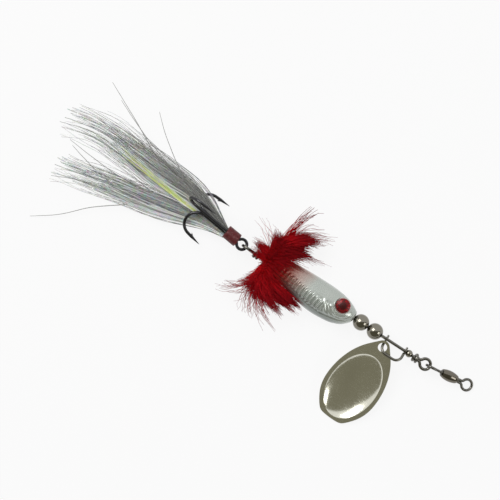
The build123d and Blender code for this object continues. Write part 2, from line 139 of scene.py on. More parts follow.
floor_white, surface, s = new_material("floor_white")
lit = s.add("ShaderNodeBsdfPrincipled", {}, {"Base Color": (0.82, 0.82, 0.82, 1), "Roughness": 0.9})
glow = s.add("ShaderNodeEmission", {}, {"Color": (1, 1, 1, 1), "Strength": 1.0})
shown = s.add("ShaderNodeMixShader", {}, {0: seen_ray(s) * 0.88, 1: lit, 2: glow})
s.tree.links.new(shown.socket, surface)
floor = plane_mesh("floor", 3.0, 3.0)
floor.location.z = table_z - 0.05 * mm
floor.data.materials.append(floor_white)

world = bpy.data.worlds.new("room")
world.use_nodes = True
world.node_tree.nodes.clear()
s = Sock(world.node_tree)
level = 0.32 + 0.68 * seen_ray(s)
room = s.add("ShaderNodeBackground", {}, {"Color": (1, 1, 1, 1), "Strength": level})
world_output = world.node_tree.nodes.new("ShaderNodeOutputWorld")
world.node_tree.links.new(room.socket, world_output.inputs["Surface"])
bpy.context.scene.world = world
bpy.context.scene.view_settings.view_transform = "Standard"

frame_turn = math.radians(33.1)
look_at = Vector((-73.4 * mm, shaft_y, shaft_z))
view_right = Vector((math.cos(frame_turn), math.sin(frame_turn), 0))
view_up = Vector((-math.sin(frame_turn), math.cos(frame_turn), 0))


def lamp(name, right, up, height, size, watts):
    """A square soft lamp that faces the lure, placed by the view's right and up."""
    light = bpy.data.lights.new(name, "AREA")
    light.size, light.energy = size, watts
    obj = bpy.data.objects.new(name, light)
    obj.location = look_at + view_right * right + view_up * up + Vector((0, 0, height))
    obj.rotation_euler = (look_at - obj.location).to_track_quat("-Z", "Y").to_euler()
    bpy.context.scene.collection.objects.link(obj)


lamp("lamp_over", -0.30, 0.35, 0.60, 0.45, 3.2)
lamp("lamp_side", 0.55, -0.25, 0.40, 0.30, 1.0)

# Painted reflection: the card glows dimly, the camera never sees it, and it lights nothing and casts no
# shadow; it only darkens what the metal mirrors.
glowing_reflection_card, surface, s = new_material("glowing_reflection_card")
card_glow = s.add("ShaderNodeEmission", {}, {"Color": (0.24, 0.23, 0.175, 1), "Strength": 1.0})
s.tree.links.new(card_glow.socket, surface)
card = plane_mesh("card", 2.50, 1.58)
card.location = look_at - view_up * 1.52 + Vector((0, 0, 0.62))
card.rotation_euler.z = frame_turn
card.data.materials.append(glowing_reflection_card)
card.visible_camera = card.visible_diffuse = card.visible_shadow = False

camera = bpy.data.objects.new("camera", bpy.data.cameras.new("camera"))
camera.data.lens = 120.0
camera.data.sensor_width = 36.0
camera.data.clip_start = 0.01
camera.location = look_at + Vector((0, 0, 142.9 * mm * camera.data.lens / camera.data.sensor_width))
camera.rotation_euler = (0, 0, frame_turn)
bpy.context.scene.collection.objects.link(camera)
bpy.context.scene.camera = camera

# ---------------------------------------------------------------- swivel
# Two eyes of tinned steel wire turn in a pressed barrel. The wire keeps its drawing marks and a
# greyish skin; the barrel is tumbled after pressing, so it is smoother, with darker patches.


def metal(name, light, dark, rough, marks, along, bump=0.004, patch=900.0):
    """Bare or plated metal: light and dark tints in soft patches, and fine marks drawn out along an axis."""
    material, surface, s = new_material(name)
    place = s.add("ShaderNodeTexCoord", out="Object")
    patches = {"Vector": place, "Scale": patch, "Detail": 3.0, "Roughness": 0.55}
    patches = s.add("ShaderNodeTexNoise", {}, patches)
    drawn = s.add("ShaderNodeMapping", {}, {"Vector": place, "Scale": along})
    lines = {"Vector": drawn, "Scale": marks, "Detail": 4.0, "Roughness": 0.7}
    lines = s.add("ShaderNodeTexNoise", {}, lines)
    tone = blend(s, patches * 0.8 + 0.1, dark, light)
    worn = s.add("ShaderNodeBump", {}, {"Strength": 0.35, "Distance": bump * mm, "Height": lines})
    finish = s.add(
        "ShaderNodeBsdfPrincipled",
        {},
        {"Base Color": tone, "Metallic": 1.0, "Roughness": lines * rough * 0.8 + rough * 0.6, "Normal": worn},
    )
    s.tree.links.new(finish.socket, surface)
    return material


def dress(material, *nodes):
    """Give CAD nodes their finish."""
    for node in nodes:
        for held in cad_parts[node].material_slots:
            held.material = material


swivel_wire = metal("swivel_wire", (0.17, 0.165, 0.15), (0.10, 0.095, 0.085), 0.20, 2500.0, (0.3, 1, 1))
swivel_shell = metal("swivel_shell", (0.20, 0.185, 0.155), (0.12, 0.105, 0.085), 0.14, 1800.0, (0.4, 1, 1))
dress(swivel_wire, "line_eye", "link_eye")
dress(swivel_shell, "swivel_barrel")

# ---------------------------------------------------------------- shaft wire
# Stainless spring wire, bent to an eye and wound back round itself at each end. Drawing it leaves
# fine marks along it.
shaft_steel = metal("shaft_steel", (0.21, 0.205, 0.185), (0.12, 0.115, 0.10), 0.18, 2600.0, (0.2, 1, 1))
dress(shaft_steel, "shaft_wire")

# ---------------------------------------------------------------- beads
# Drilled metal balls, nickel plated and smooth, slide on the shaft behind the clevis. The small
# bead in front is the clevis's bearing.
bead_nickel = metal(
    "bead_nickel", (0.25, 0.24, 0.205), (0.20, 0.185, 0.15), 0.10, 1500.0, (1, 1, 1), 0.002, 350.0
)
dress(bead_nickel, "bearing_bead", "bead_front", "bead_rear")

# ---------------------------------------------------------------- clevis
# A stirrup of wire with two flattened, pierced ears that ride on the shaft; the blade hangs on it.
# It is nickel plated and a little duller than the beads.
clevis_nickel = metal("clevis_nickel", (0.20, 0.195, 0.17), (0.125, 0.12, 0.10), 0.16, 2400.0, (1, 0.4, 1))
dress(clevis_nickel, "clevis")

# ---------------------------------------------------------------- blade
# A brass blank, stamped, dished and bright nickel plated. Lying in a box has left hair scratches
# every way and faint brown specks all over.
blade_nickel, surface, s = new_material("blade_nickel")
place = s.add("ShaderNodeTexCoord", out="Object")
haze = s.add("ShaderNodeTexNoise", {}, {"Vector": place, "Scale": 160.0, "Detail": 4.0, "Roughness": 0.6})
scratch = None
for turn in (20, 75, 130):
    heading = (0, 0, math.radians(turn))
    laid = s.add("ShaderNodeMapping", {}, {"Vector": place, "Rotation": heading, "Scale": (0.05, 1, 1)})
    line = s.add("ShaderNodeTexNoise", {}, {"Vector": laid, "Scale": 5200.0, "Detail": 1.0})
    hair = s.add("ShaderNodeMapRange", {}, {"Value": line, "From Min": 0.66, "From Max": 0.74})
    scratch = hair if scratch is None else s.math("MAXIMUM", scratch, hair)
specks = s.add("ShaderNodeTexVoronoi", {}, {"Vector": place, "Scale": 420.0})
speck = s.add("ShaderNodeMapRange", {}, {"Value": specks, "From Min": 0.10, "From Max": 0.04})
tone = blend(s, haze, (0.60, 0.59, 0.50), (0.72, 0.71, 0.62))
tone = blend(s, speck * 0.35, tone, (0.30, 0.25, 0.16))
worn = {"Strength": 0.25, "Distance": 0.003 * mm, "Height": scratch}
worn = s.add("ShaderNodeBump", {"invert": True}, worn)
plated = s.add(
    "ShaderNodeBsdfPrincipled",
    {},
    {"Base Color": tone, "Metallic": 1.0, "Roughness": haze * 0.10 + scratch * 0.10 + 0.13, "Normal": worn},
)
s.tree.links.new(plated.socket, surface)
dress(blade_nickel, "spinner_blade")

# ---------------------------------------------------------------- minnow body
# A lead and resin blank cast round the tube, with ribs, gill plates and a belly seam from the mould.
# It is dipped in pearl lacquer, its tail is misted orange-red, and a hard clear coat closes it.
body_low, body_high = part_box("minnow_body")
nose_x, tail_x = body_high.x, body_low.x
body_length = nose_x - tail_x
back, belly, thick, bore = 4.35 * mm, 5.50 * mm, 8.40 * mm, 0.90 * mm
stations = np.array(
    [
        (0.000, 0.40, 0.27, 0.36),
        (0.055, 0.60, 0.56, 0.62),
        (0.170, 0.87, 0.86, 0.88),
        (0.300, 0.98, 0.97, 0.98),
        (0.430, 1.00, 1.00, 1.00),
        (0.580, 0.98, 0.92, 0.95),
        (0.740, 0.94, 0.72, 0.84),
        (0.880, 0.86, 0.56, 0.72),
        (1.000, 0.72, 0.44, 0.58),
    ]
)
eye_low, eye_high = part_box("eye_left")
eye_x, eye_y = (eye_low.x + eye_high.x) / 2, (eye_low.y + eye_high.y) / 2
eye_r = (eye_high.x - eye_low.x) / 2


def smooth(low, high, value):
    """0 below low, 1 above high, with an eased step between; falls instead where low is above high."""
    t = np.clip((value - low) / (high - low), 0, 1)
    return t * t * (3 - 2 * t)


def girth(along):
    """Back, belly and half thickness at these shares of the length, eased through the stations."""
    t, rows = stations[:, 0], stations[:, 1:]
    slope = np.gradient(rows, t, axis=0)
    i = np.clip(np.searchsorted(t, along, side="right") - 1, 0, len(t) - 2)
    step = (t[i + 1] - t[i])[:, None]
    u = ((along - t[i]) / (t[i + 1] - t[i]))[:, None]
    shares = (
        (1 + 2 * u) * (1 - u) ** 2 * rows[i]
        + u * (1 - u) ** 2 * step * slope[i]
        + u * u * (3 - 2 * u) * rows[i + 1]
        + u * u * (u - 1) * step * slope[i + 1]
    )
    return shares[:, 0] * back, shares[:, 1] * belly, shares[:, 2] * thick / 2


def relief(x, y):
    """Height of the mould's detail on a flank at these places, in metres."""
    behind, above = (nose_x - x) / mm, (y - shaft_y) / mm
    top_edge = np.interp(behind, (9.0, 23.0), (-1.1, 0.7))
    low_edge = np.interp(behind, (0.0, 4.0, 9.0, 14.0, 23.0), (-1.3, -3.1, -4.0, -3.7, -2.0))
    ribbed = smooth(9.2, 10.2, behind) * smooth(25.5, 24.5, behind)
    ribbed *= smooth(top_edge + 0.5, top_edge - 0.3, above) * smooth(low_edge - 0.25, low_edge + 0.25, above)
    phase = (behind + 0.18 * above) / 1.30
    height = 0.52 * ribbed * (0.5 + 0.5 * np.cos(2 * np.pi * phase)) ** 0.7
    height -= 0.16 * np.exp(-(((above - low_edge) / 0.22) ** 2)) * smooth(0.8, 2.0, behind)
    dx, dy = (x - eye_x) / mm, (y - eye_y) / mm
    far, turn = np.hypot(dx, dy), np.degrees(np.arctan2(dy, dx)) % 360
    for radius, start, end, wide, high in (
        (5.35, 192, 236, 0.42, 0.34),
        (4.35, 204, 250, 0.34, 0.26),
        (3.40, 206, 262, 0.36, 0.34),
        (3.05, 262, 325, 0.34, 0.22),
    ):
        arc = smooth(start - 8, start + 8, turn) * smooth(end + 8, end - 8, turn)
        height += high * arc * np.exp(-(((far - radius) / wide) ** 2))
    height += 0.10 * np.exp(-(((far - 2.45) / 0.18) ** 2))
    return height * mm


rings, around = 260, 160
along = np.linspace(0, 1, rings)
tops, bottoms, halves = girth(along)
angle = np.linspace(0, 2 * np.pi, around, endpoint=False)
edge = 0.30 * mm
loops = []
for end_x, k in ((nose_x, 0), (tail_x, rings - 1)):
    inward = -1 if end_x == nose_x else 1
    closing = [(end_x, bore, bore, bore), (end_x, tops[k] - edge, bottoms[k] - edge, halves[k] - edge)]
    turned = 0.3 * edge
    closing.append((end_x + inward * turned, tops[k] - turned, bottoms[k] - turned, halves[k] - turned))
    loops.append(closing)
skin = [(nose_x - t * body_length, a, b, c) for t, a, b, c in zip(along, tops, bottoms, halves)]
skin = [s for s in skin if tail_x + edge < s[0] < nose_x - edge]
order = loops[0] + skin + loops[1][::-1]
points = []
for x, up, down, half in order:
    y = shaft_y + (up - down) / 2 + (up + down) / 2 * np.cos(angle)
    z = shaft_z + half * np.sin(angle)
    if x not in (nose_x, tail_x):
        normal = np.stack([np.cos(angle) / ((up + down) / 2), np.sin(angle) / half])
        normal /= np.hypot(*normal)
        flank = np.abs(np.sin(angle)) ** 0.5
        raised = relief(np.full(around, x), y) * flank
        y, z = y + normal[0] * raised, z + normal[1] * raised
        seat = (2.9 + 3.0 * smooth(2.15, 2.75, np.hypot(x - eye_x, y - eye_y) / mm)) * mm
        z = shaft_z + np.clip(z - shaft_z, -seat, seat)
    points.append(np.stack([np.full(around, x), y, np.maximum(z, table_z)], axis=1))
points = np.concatenate(points)
faces = []
for i in range(len(order)):
    j = (i + 1) % len(order)
    for k in range(around):
        n = (k + 1) % around
        faces.append((i * around + k, i * around + n, j * around + n, j * around + k))


def new_piece(name, points, faces, material, smooth_faces=True):
    """A mesh piece from points and faces, with its finish."""
    mesh = bpy.data.meshes.new(name)
    mesh.from_pydata([tuple(p) for p in points], [], faces)
    mesh.materials.append(material)
    mesh.polygons.foreach_set("use_smooth", [smooth_faces] * len(mesh.polygons))
    obj = bpy.data.objects.new(name, mesh)
    bpy.context.scene.collection.objects.link(obj)
    return obj


pearl_lacquer, surface, s = new_material("pearl_lacquer")
place = s.add("ShaderNodeTexCoord", out="Object")
split = s.tree.nodes.new("ShaderNodeSeparateXYZ")
s.tree.links.new(place.socket, split.inputs[0])
behind = (nose_x - Sock(s.tree, split.outputs["X"])) / body_length
above = Sock(s.tree, split.outputs["Y"]) / mm - shaft_y / mm
cloud = s.add("ShaderNodeTexNoise", {}, {"Vector": place, "Scale": 260.0, "Detail": 3.0})
flake = s.add("ShaderNodeTexVoronoi", {}, {"Vector": place, "Scale": 5200.0})
grain = s.add("ShaderNodeTexNoise", {}, {"Vector": place, "Scale": 2600.0, "Detail": 2.0})
pearl = blend(s, cloud, (0.40, 0.44, 0.40), (0.49, 0.52, 0.48))
# Painted shade: the flank is painted darker towards the belly edge, where it rounds away from the light.
low = s.add("ShaderNodeMapRange", {}, {"Value": above, "From Min": -2.6, "From Max": -4.6})
pearl = blend(s, low * 0.9, pearl, (0.20, 0.225, 0.21))
mist = behind + cloud * 0.10 + above * 0.012
mist = s.add("ShaderNodeMapRange", {}, {"Value": mist, "From Min": 0.62, "From Max": 0.92})
pearl = blend(s, mist * 0.9, pearl, (0.46, 0.10, 0.05))
worn = s.add("ShaderNodeBump", {}, {"Strength": 0.12, "Distance": 0.01 * mm, "Height": grain})
lacquer = s.add(
    "ShaderNodeBsdfPrincipled",
    {},
    {
        "Base Color": pearl,
        "Metallic": 0.5,
        "Roughness": flake * 0.12 + 0.20,
        "Normal": worn,
        "Coat Weight": 1.0,
        "Coat Roughness": 0.05,
    },
)
s.tree.links.new(lacquer.socket, surface)
minnow = new_piece("minnow_shell", points, faces, pearl_lacquer)
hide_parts("minnow_body")
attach(minnow, "body")

# ---------------------------------------------------------------- eyes
# A domed acrylic lens over a black pupil and dark red glitter foil, glued into its seat inside a
# pale painted ring.
eye_lens, surface, s = new_material("eye_lens")
place = s.add("ShaderNodeTexCoord", out="Object")
flat = s.add("ShaderNodeVectorMath", {"operation": "MULTIPLY"}, {0: place, 1: (1, 1, 0)})
out_from = s.add("ShaderNodeVectorMath", {"operation": "DISTANCE"}, {0: flat, 1: (eye_x, eye_y, 0)}, "Value")
ring = s.add("ShaderNodeMapRange", {}, {"Value": out_from / eye_r, "From Min": 0.95, "From Max": 0.98})
pupil = s.add("ShaderNodeMapRange", {}, {"Value": out_from / eye_r, "From Min": 0.62, "From Max": 0.40})
foil = s.add("ShaderNodeTexVoronoi", {}, {"Vector": place, "Scale": 3600.0})
glint = s.add("ShaderNodeMapRange", {}, {"Value": foil, "From Min": 0.55, "From Max": 0.15})
red = blend(s, glint, (0.09, 0.002, 0.003), (0.50, 0.006, 0.010))
red = blend(s, pupil * 0.85, red, (0.035, 0.003, 0.003))
tone = blend(s, ring, red, (0.62, 0.44, 0.42))
lens = s.add(
    "ShaderNodeBsdfPrincipled",
    {},
    {
        "Base Color": tone,
        "Metallic": glint * 0.5,
        "Roughness": foil * 0.2 + 0.3,
        "Coat Weight": 0.15,
        "Coat Roughness": 0.04,
        "Specular IOR Level": 0.25,
    },
)
s.tree.links.new(lens.socket, surface)
dress(eye_lens, "eye_left", "eye_right")

# ---------------------------------------------------------------- body tube
# A drawn brass tube keeps the cast body clear of the shaft; its end stands out behind the tail.
tube_brass = metal("tube_brass", (0.62, 0.48, 0.24), (0.40, 0.28, 0.12), 0.28, 2200.0, (0.2, 1, 1))
dress(tube_brass, "body_tube")

# ---------------------------------------------------------------- collar thread
# Red metallic tying thread, wound tightly over the feather's stalk onto the tube and varnished.


def geometry_tree(name, sizes):
    """An empty geometry tree, its named inputs as Socks, its output socket and a Sock to build with."""
    tree = bpy.data.node_groups.new(name, "GeometryNodeTree")
    tree.interface.new_socket("Geometry", in_out="INPUT", socket_type="NodeSocketGeometry")
    tree.interface.new_socket("Geometry", in_out="OUTPUT", socket_type="NodeSocketGeometry")
    for label, kind in sizes.items():
        tree.interface.new_socket(label, in_out="INPUT", socket_type="NodeSocket" + kind)
    given = tree.nodes.new("NodeGroupInput")
    made = tree.nodes.new("NodeGroupOutput")
    inputs = {socket.name: Sock(tree, socket) for socket in given.outputs if socket.name}
    return tree, inputs, made.inputs[0], Sock(tree)


def applied(name, tree, sizes, start=None):
    """The plain mesh that a geometry tree makes with these sizes, as a new piece."""
    piece = bpy.data.objects.new(name, start or bpy.data.meshes.new(name))
    bpy.context.scene.collection.objects.link(piece)
    nodes = piece.modifiers.new(name, "NODES")
    nodes.node_group = tree
    for item in tree.interface.items_tree:
        if item.in_out == "INPUT" and item.name in sizes:
            nodes[item.identifier] = sizes[item.name]
    depsgraph = bpy.context.evaluated_depsgraph_get()
    mesh = bpy.data.meshes.new_from_object(
        piece.evaluated_get(depsgraph), preserve_all_data_layers=True, depsgraph=depsgraph
    )
    mesh.polygons.foreach_set("use_smooth", [True] * len(mesh.polygons))
    bpy.data.objects.remove(piece)
    finished = bpy.data.objects.new(name, mesh)
    bpy.context.scene.collection.objects.link(finished)
    return finished


winding, given, made, s = geometry_tree(
    "winding",
    {"Radius": "Float", "Length": "Float", "Turns": "Float", "Thread": "Float", "Finish": "Material"},
)
spiral = s.add(
    "GeometryNodeCurveSpiral",
    {},
    {
        "Resolution": 40,
        "Rotations": given["Turns"],
        "Start Radius": given["Radius"],
        "End Radius": given["Radius"],
        "Height": given["Length"],
    },
)
section = s.add("GeometryNodeCurvePrimitiveCircle", {}, {"Resolution": 6, "Radius": given["Thread"]})
wound = s.add("GeometryNodeCurveToMesh", {}, {"Curve": spiral, "Profile Curve": section, "Fill Caps": True})
core_radius = given["Radius"] - given["Thread"] * 0.3
core = {"Vertices": 40, "Radius": core_radius, "Depth": given["Length"]}
core = s.add("GeometryNodeMeshCylinder", {}, core)
lift = s.add("ShaderNodeCombineXYZ", {}, {2: given["Length"] * 0.5})
core = s.add("GeometryNodeTransform", {}, {"Geometry": core, "Translation": lift})
both = s.tree.nodes.new("GeometryNodeJoinGeometry")
for part in (wound, core):
    s.tree.links.new(part.socket, both.inputs[0])
real = s.add("GeometryNodeRealizeInstances", {}, {0: Sock(s.tree, both.outputs[0])})
finish = s.add("GeometryNodeSetMaterial", {}, {"Geometry": real, "Material": given["Finish"]})
s.tree.links.new(finish.socket, made)


def thread_finish(name, dark, light, sparkle):
    """Wound thread: shaded between turns by its form, with a few metallic glints."""
    material, surface, s = new_material(name)
    place = s.add("ShaderNodeTexCoord", out="Object")
    fleck = s.add("ShaderNodeTexVoronoi", {}, {"Vector": place, "Scale": 2600.0})
    shine = s.add("ShaderNodeMapRange", {}, {"Value": fleck, "From Min": 0.30, "From Max": 0.12})
    fray = s.add("ShaderNodeTexNoise", {}, {"Vector": place, "Scale": 3000.0, "Detail": 3.0})
    tone = blend(s, fray, dark, light)
    tone = blend(s, shine * sparkle, tone, (0.85, 0.45, 0.42))
    worn = s.add("ShaderNodeBump", {}, {"Strength": 0.4, "Distance": 0.03 * mm, "Height": fray})
    thread = s.add(
        "ShaderNodeBsdfPrincipled",
        {},
        {"Base Color": tone, "Metallic": shine * sparkle, "Roughness": 0.45 - shine * 0.2, "Normal": worn},
    )
    s.tree.links.new(thread.socket, surface)
    return material


def place_on_axis(piece, start, direction):
    """Turn a piece made along +Z to lie along direction from start, in its mesh."""
    turn = Vector((0, 0, 1)).rotation_difference(direction).to_matrix().to_4x4()
    turn.translation = start
    piece.data.transform(turn)


thread_low, thread_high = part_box("collar_thread")
thread_red = thread_finish("thread_red", (0.16, 0.004, 0.010), (0.42, 0.012, 0.025), 0.8)
collar_thread = applied(
    "collar_winding",
    winding,
    {
        "Radius": (thread_high.z - thread_low.z) / 2 - 0.16 * mm,
        "Length": thread_high.x - thread_low.x,
        "Turns": 9.0,
        "Thread": 0.16 * mm,
        "Finish": thread_red,
    },
)
place_on_axis(collar_thread, Vector((thread_low.x, shaft_y, shaft_z)), Vector((1, 0, 0)))
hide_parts("collar_thread")
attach(collar_thread, "body")

# ---------------------------------------------------------------- feather collar
# A marabou plume wound round the tube by its stalk, so that its soft barbs stand out all round in
# tufts. Dyed deep red. The barbs are thin, and the longest end in dark hairs.
hub_x = (thread_low.x + thread_high.x) / 2 + 0.3 * mm
barb, given, made, s = geometry_tree(
    "barbs",
    {
        "Count": "Int",
        "Seed": "Int",
        "Turn": "Float",
        "Turn spread": "Float",
        "Ahead": "Float",
        "Ahead spread": "Float",
        "Reach": "Float",
        "Reach spread": "Float",
        "Curl": "Float",
        "Thickness": "Float",
        "Tone": "Float",
        "Hub": "Vector",
        "Table": "Float",
    },
)
stem = s.add("GeometryNodeCurvePrimitiveLine", {}, {"End": (0, 0, 1)})
stem = s.add("GeometryNodeResampleCurve", {}, {"Curve": stem, "Count": 9})
copies = s.tree.nodes.new("GeometryNodeDuplicateElements")
copies.domain = "SPLINE"
s.tree.links.new(stem.socket, copies.inputs["Geometry"])
s.tree.links.new(given["Count"].socket, copies.inputs["Amount"])
which = Sock(s.tree, copies.outputs["Duplicate Index"])
t = s.add("GeometryNodeSplineParameter")


def chance(s, which, seed, step):
    """A fixed random number from -1 to 1 for each fibre."""
    drawn = {2: -1.0, 3: 1.0, "ID": which, "Seed": seed + step}
    return s.add("FunctionNodeRandomValue", {"data_type": "FLOAT"}, drawn, 1)


seed = given["Seed"]
bell = (chance(s, which, seed, 1) + chance(s, which, seed, 2)) * 0.5
turn = given["Turn"] + given["Turn spread"] * (bell * 0.6 + chance(s, which, seed, 3) * 0.4)
length = 1 - s.math("ABSOLUTE", chance(s, which, seed, 4)) * given["Reach spread"]
reach = given["Reach"] * length
ahead = (given["Ahead"] + given["Ahead spread"] * chance(s, which, seed, 5)) * length
start_x = chance(s, which, seed, 6) * 1.0 * mm
start_r = 1.5 * mm
bow = chance(s, which, seed, 7) * given["Curl"]
twist = chance(s, which, seed, 8) * given["Curl"] * 60.0
out = start_r + (reach - start_r) * (t * 1.6 - t * t * 0.6) + s.math("SINE", t * 3.1) * bow * 0.35
along = start_x + ahead * (t * 0.25 + t * t * 0.75) + s.math("SINE", t * 3.1) * bow
swing = turn + t * t * twist
sideways, upwards = out * s.math("COSINE", swing), out * s.math("SINE", swing)
side = s.add("ShaderNodeCombineXYZ", {}, {0: along, 1: sideways, 2: upwards})
wander = s.add("ShaderNodeVectorMath", {"operation": "SCALE"}, {0: side, "Scale": 260.0})
wander = {"Vector": wander, "W": which * 0.37, "Detail": 1.0}
wander = s.add("ShaderNodeTexNoise", {"noise_dimensions": "4D"}, wander, 1)
wander = s.add("ShaderNodeVectorMath", {"operation": "SUBTRACT"}, {0: wander, 1: (0.5, 0.5, 0.5)})
wander = s.add("ShaderNodeVectorMath", {"operation": "SCALE"}, {0: wander, "Scale": t * given["Curl"] * 2.2})
spot = s.add("ShaderNodeVectorMath", {"operation": "ADD"}, {0: side, 1: wander})
spot = s.add("ShaderNodeVectorMath", {"operation": "ADD"}, {0: spot, 1: given["Hub"]})
apart = s.tree.nodes.new("ShaderNodeSeparateXYZ")
s.tree.links.new(spot.socket, apart.inputs[0])
x, y, z = (Sock(s.tree, apart.outputs[i]) for i in range(3))
low = given["Table"] + 0.12 * mm + s.math("ABSOLUTE", chance(s, which, seed, 9)) * 1.2 * mm
sunk = s.math("MAXIMUM", low - z, 0.0)
z = s.math("MAXIMUM", z, low)
hub_parts = s.tree.nodes.new("ShaderNodeSeparateXYZ")
s.tree.links.new(given["Hub"].socket, hub_parts.inputs[0])
y = y + s.math("SIGN", y - Sock(s.tree, hub_parts.outputs[1])) * sunk * 0.6
spot = s.add("ShaderNodeCombineXYZ", {}, {0: x, 1: y, 2: z})
shaped = s.add(
    "GeometryNodeSetPosition", {}, {"Geometry": Sock(s.tree, copies.outputs["Geometry"]), "Position": spot}
)
tip = given["Thickness"] * (1.05 - t * 0.75)
for label, field in (("along", t), ("tone", given["Tone"] + chance(s, which, seed, 10) * 0.22)):
    shaped = s.add(
        "GeometryNodeStoreNamedAttribute",
        {"data_type": "FLOAT", "domain": "POINT"},
        {"Geometry": shaped, "Name": label, "Value": field},
    )
section = s.add("GeometryNodeCurvePrimitiveCircle", {}, {"Resolution": 3, "Radius": 1.0})
barbs = {"Curve": shaped, "Profile Curve": section, "Scale": tip, "Fill Caps": True}
barbs = s.add("GeometryNodeCurveToMesh", {}, barbs)
s.tree.links.new(barbs.socket, made)


def gathered(name, group, rows, labels, shared, material):
    """One mesh of several bundles of the same group, each with its own row of sizes."""
    tree, given, made, s = geometry_tree(name, {"Finish": "Material"})
    joined = s.tree.nodes.new("GeometryNodeJoinGeometry")
    for row in rows:
        bundle = s.add("GeometryNodeGroup", {"node_tree": group}, {**dict(zip(labels, row)), **shared})
        s.tree.links.new(bundle.socket, joined.inputs[0])
    real = s.add("GeometryNodeRealizeInstances", {}, {0: Sock(s.tree, joined.outputs[0])})
    finish = s.add("GeometryNodeSetMaterial", {}, {"Geometry": real, "Material": given["Finish"]})
    s.tree.links.new(finish.socket, made)
    return applied(name, tree, {"Finish": material})


feather_red, surface, s = new_material("feather_red")
place = s.add("ShaderNodeTexCoord", out="Object")
along = s.add("ShaderNodeAttribute", {"attribute_name": "along"}, {}, "Fac")
tone = s.add("ShaderNodeAttribute", {"attribute_name": "tone"}, {}, "Fac")
fuzz = s.add("ShaderNodeTexNoise", {}, {"Vector": place, "Scale": 900.0, "Detail": 3.0})
dye = blend(s, tone + fuzz * 0.3 - 0.15, (0.52, 0.001, 0.003), (0.90, 0.018, 0.030))
dark_end = s.add("ShaderNodeMapRange", {}, {"Value": along, "From Min": 0.55, "From Max": 0.95})
dye = blend(s, dark_end * 0.7, dye, (0.07, 0.004, 0.008))
soft = s.add(
    "ShaderNodeBsdfPrincipled",
    {},
    {"Base Color": dye, "Roughness": fuzz * 0.2 + 0.7, "Specular IOR Level": 0.08},
)
s.tree.links.new(soft.socket, surface)

labels = (
    "Count", "Seed", "Turn", "Turn spread", "Ahead", "Ahead spread",
    "Reach", "Reach spread", "Curl", "Thickness", "Tone",
)
shared = {"Hub": (hub_x, shaft_y, shaft_z), "Table": table_z}
full = math.pi
bundles = {
    "collar_down": (
        (1500, 11, 0.0, full, 1.5 * mm, 5.0 * mm, 9.6 * mm, 0.40, 0.9 * mm, 0.11 * mm, 0.25),
        (1300, 12, 0.0, full, 5.5 * mm, 4.5 * mm, 9.4 * mm, 0.40, 0.9 * mm, 0.10 * mm, 0.35),
        (700, 13, full, 0.9, 4.5 * mm, 6.0 * mm, 10.8 * mm, 0.45, 1.6 * mm, 0.10 * mm, 0.45),
    ),
    "collar_lobes": (
        (650, 29, full, 0.9, 13.0 * mm, 2.5 * mm, 6.6 * mm, 0.30, 1.0 * mm, 0.11 * mm, 0.50),
        (650, 27, full, 0.9, 9.5 * mm, 3.0 * mm, 7.2 * mm, 0.25, 1.2 * mm, 0.11 * mm, 0.45),
        (450, 28, 0.0, 0.9, 6.0 * mm, 4.5 * mm, 8.4 * mm, 0.30, 1.2 * mm, 0.11 * mm, 0.45),
        (1100, 21, 0.08, 0.50, 7.4 * mm, 2.8 * mm, 13.4 * mm, 0.55, 1.6 * mm, 0.10 * mm, 0.65),
        (520, 22, full, 0.75, 9.0 * mm, 3.0 * mm, 11.4 * mm, 0.50, 1.6 * mm, 0.10 * mm, 0.60),
        (600, 26, full, 0.75, 12.0 * mm, 3.0 * mm, 8.6 * mm, 0.35, 0.9 * mm, 0.10 * mm, 0.60),
        (520, 23, full, 0.70, 3.0 * mm, 4.0 * mm, 11.8 * mm, 0.50, 1.6 * mm, 0.09 * mm, 0.55),
        (360, 24, full, 0.70, -2.0 * mm, 2.5 * mm, 9.8 * mm, 0.40, 0.9 * mm, 0.09 * mm, 0.45),
        (420, 25, 0.9, 1.2, -5.2 * mm, 2.0 * mm, 4.2 * mm, 0.40, 0.7 * mm, 0.10 * mm, 0.40),
    ),
    "collar_hairs": (
        (60, 31, full, 0.60, 6.0 * mm, 6.5 * mm, 16.5 * mm, 0.25, 1.3 * mm, 0.12 * mm, 0.10),
        (44, 32, full, 0.50, -5.0 * mm, 5.5 * mm, 15.0 * mm, 0.30, 1.3 * mm, 0.11 * mm, 0.05),
        (20, 33, 0.05, 0.16, 3.0 * mm, 2.6 * mm, 20.5 * mm, 0.25, 0.5 * mm, 0.18 * mm, 0.15),
        (40, 34, 0.10, 0.45, 11.0 * mm, 3.5 * mm, 17.0 * mm, 0.35, 1.2 * mm, 0.11 * mm, 0.25),
        (16, 35, 0.15, 0.35, 15.0 * mm, 2.0 * mm, 9.5 * mm, 0.35, 1.2 * mm, 0.10 * mm, 0.10),
        (14, 36, 0.3, 0.6, -8.0 * mm, 3.5 * mm, 10.5 * mm, 0.40, 1.6 * mm, 0.10 * mm, 0.10),
    ),
}
for name, rows in bundles.items():
    tuft = gathered(name, barb, rows, labels, shared, feather_red)
    if name == "collar_down":
        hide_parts("feather_collar")
    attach(tuft, "body")

# ---------------------------------------------------------------- treble
# Two forged hooks bent from one wire that also makes the eye, and a third brazed on with its bend
# set back. They are black nickel plated.
hook_black = metal("hook_black", (0.075, 0.075, 0.080), (0.035, 0.035, 0.038), 0.20, 2200.0, (0.3, 1, 1))
dress(hook_black, "treble_double_hook", "treble_third_hook")

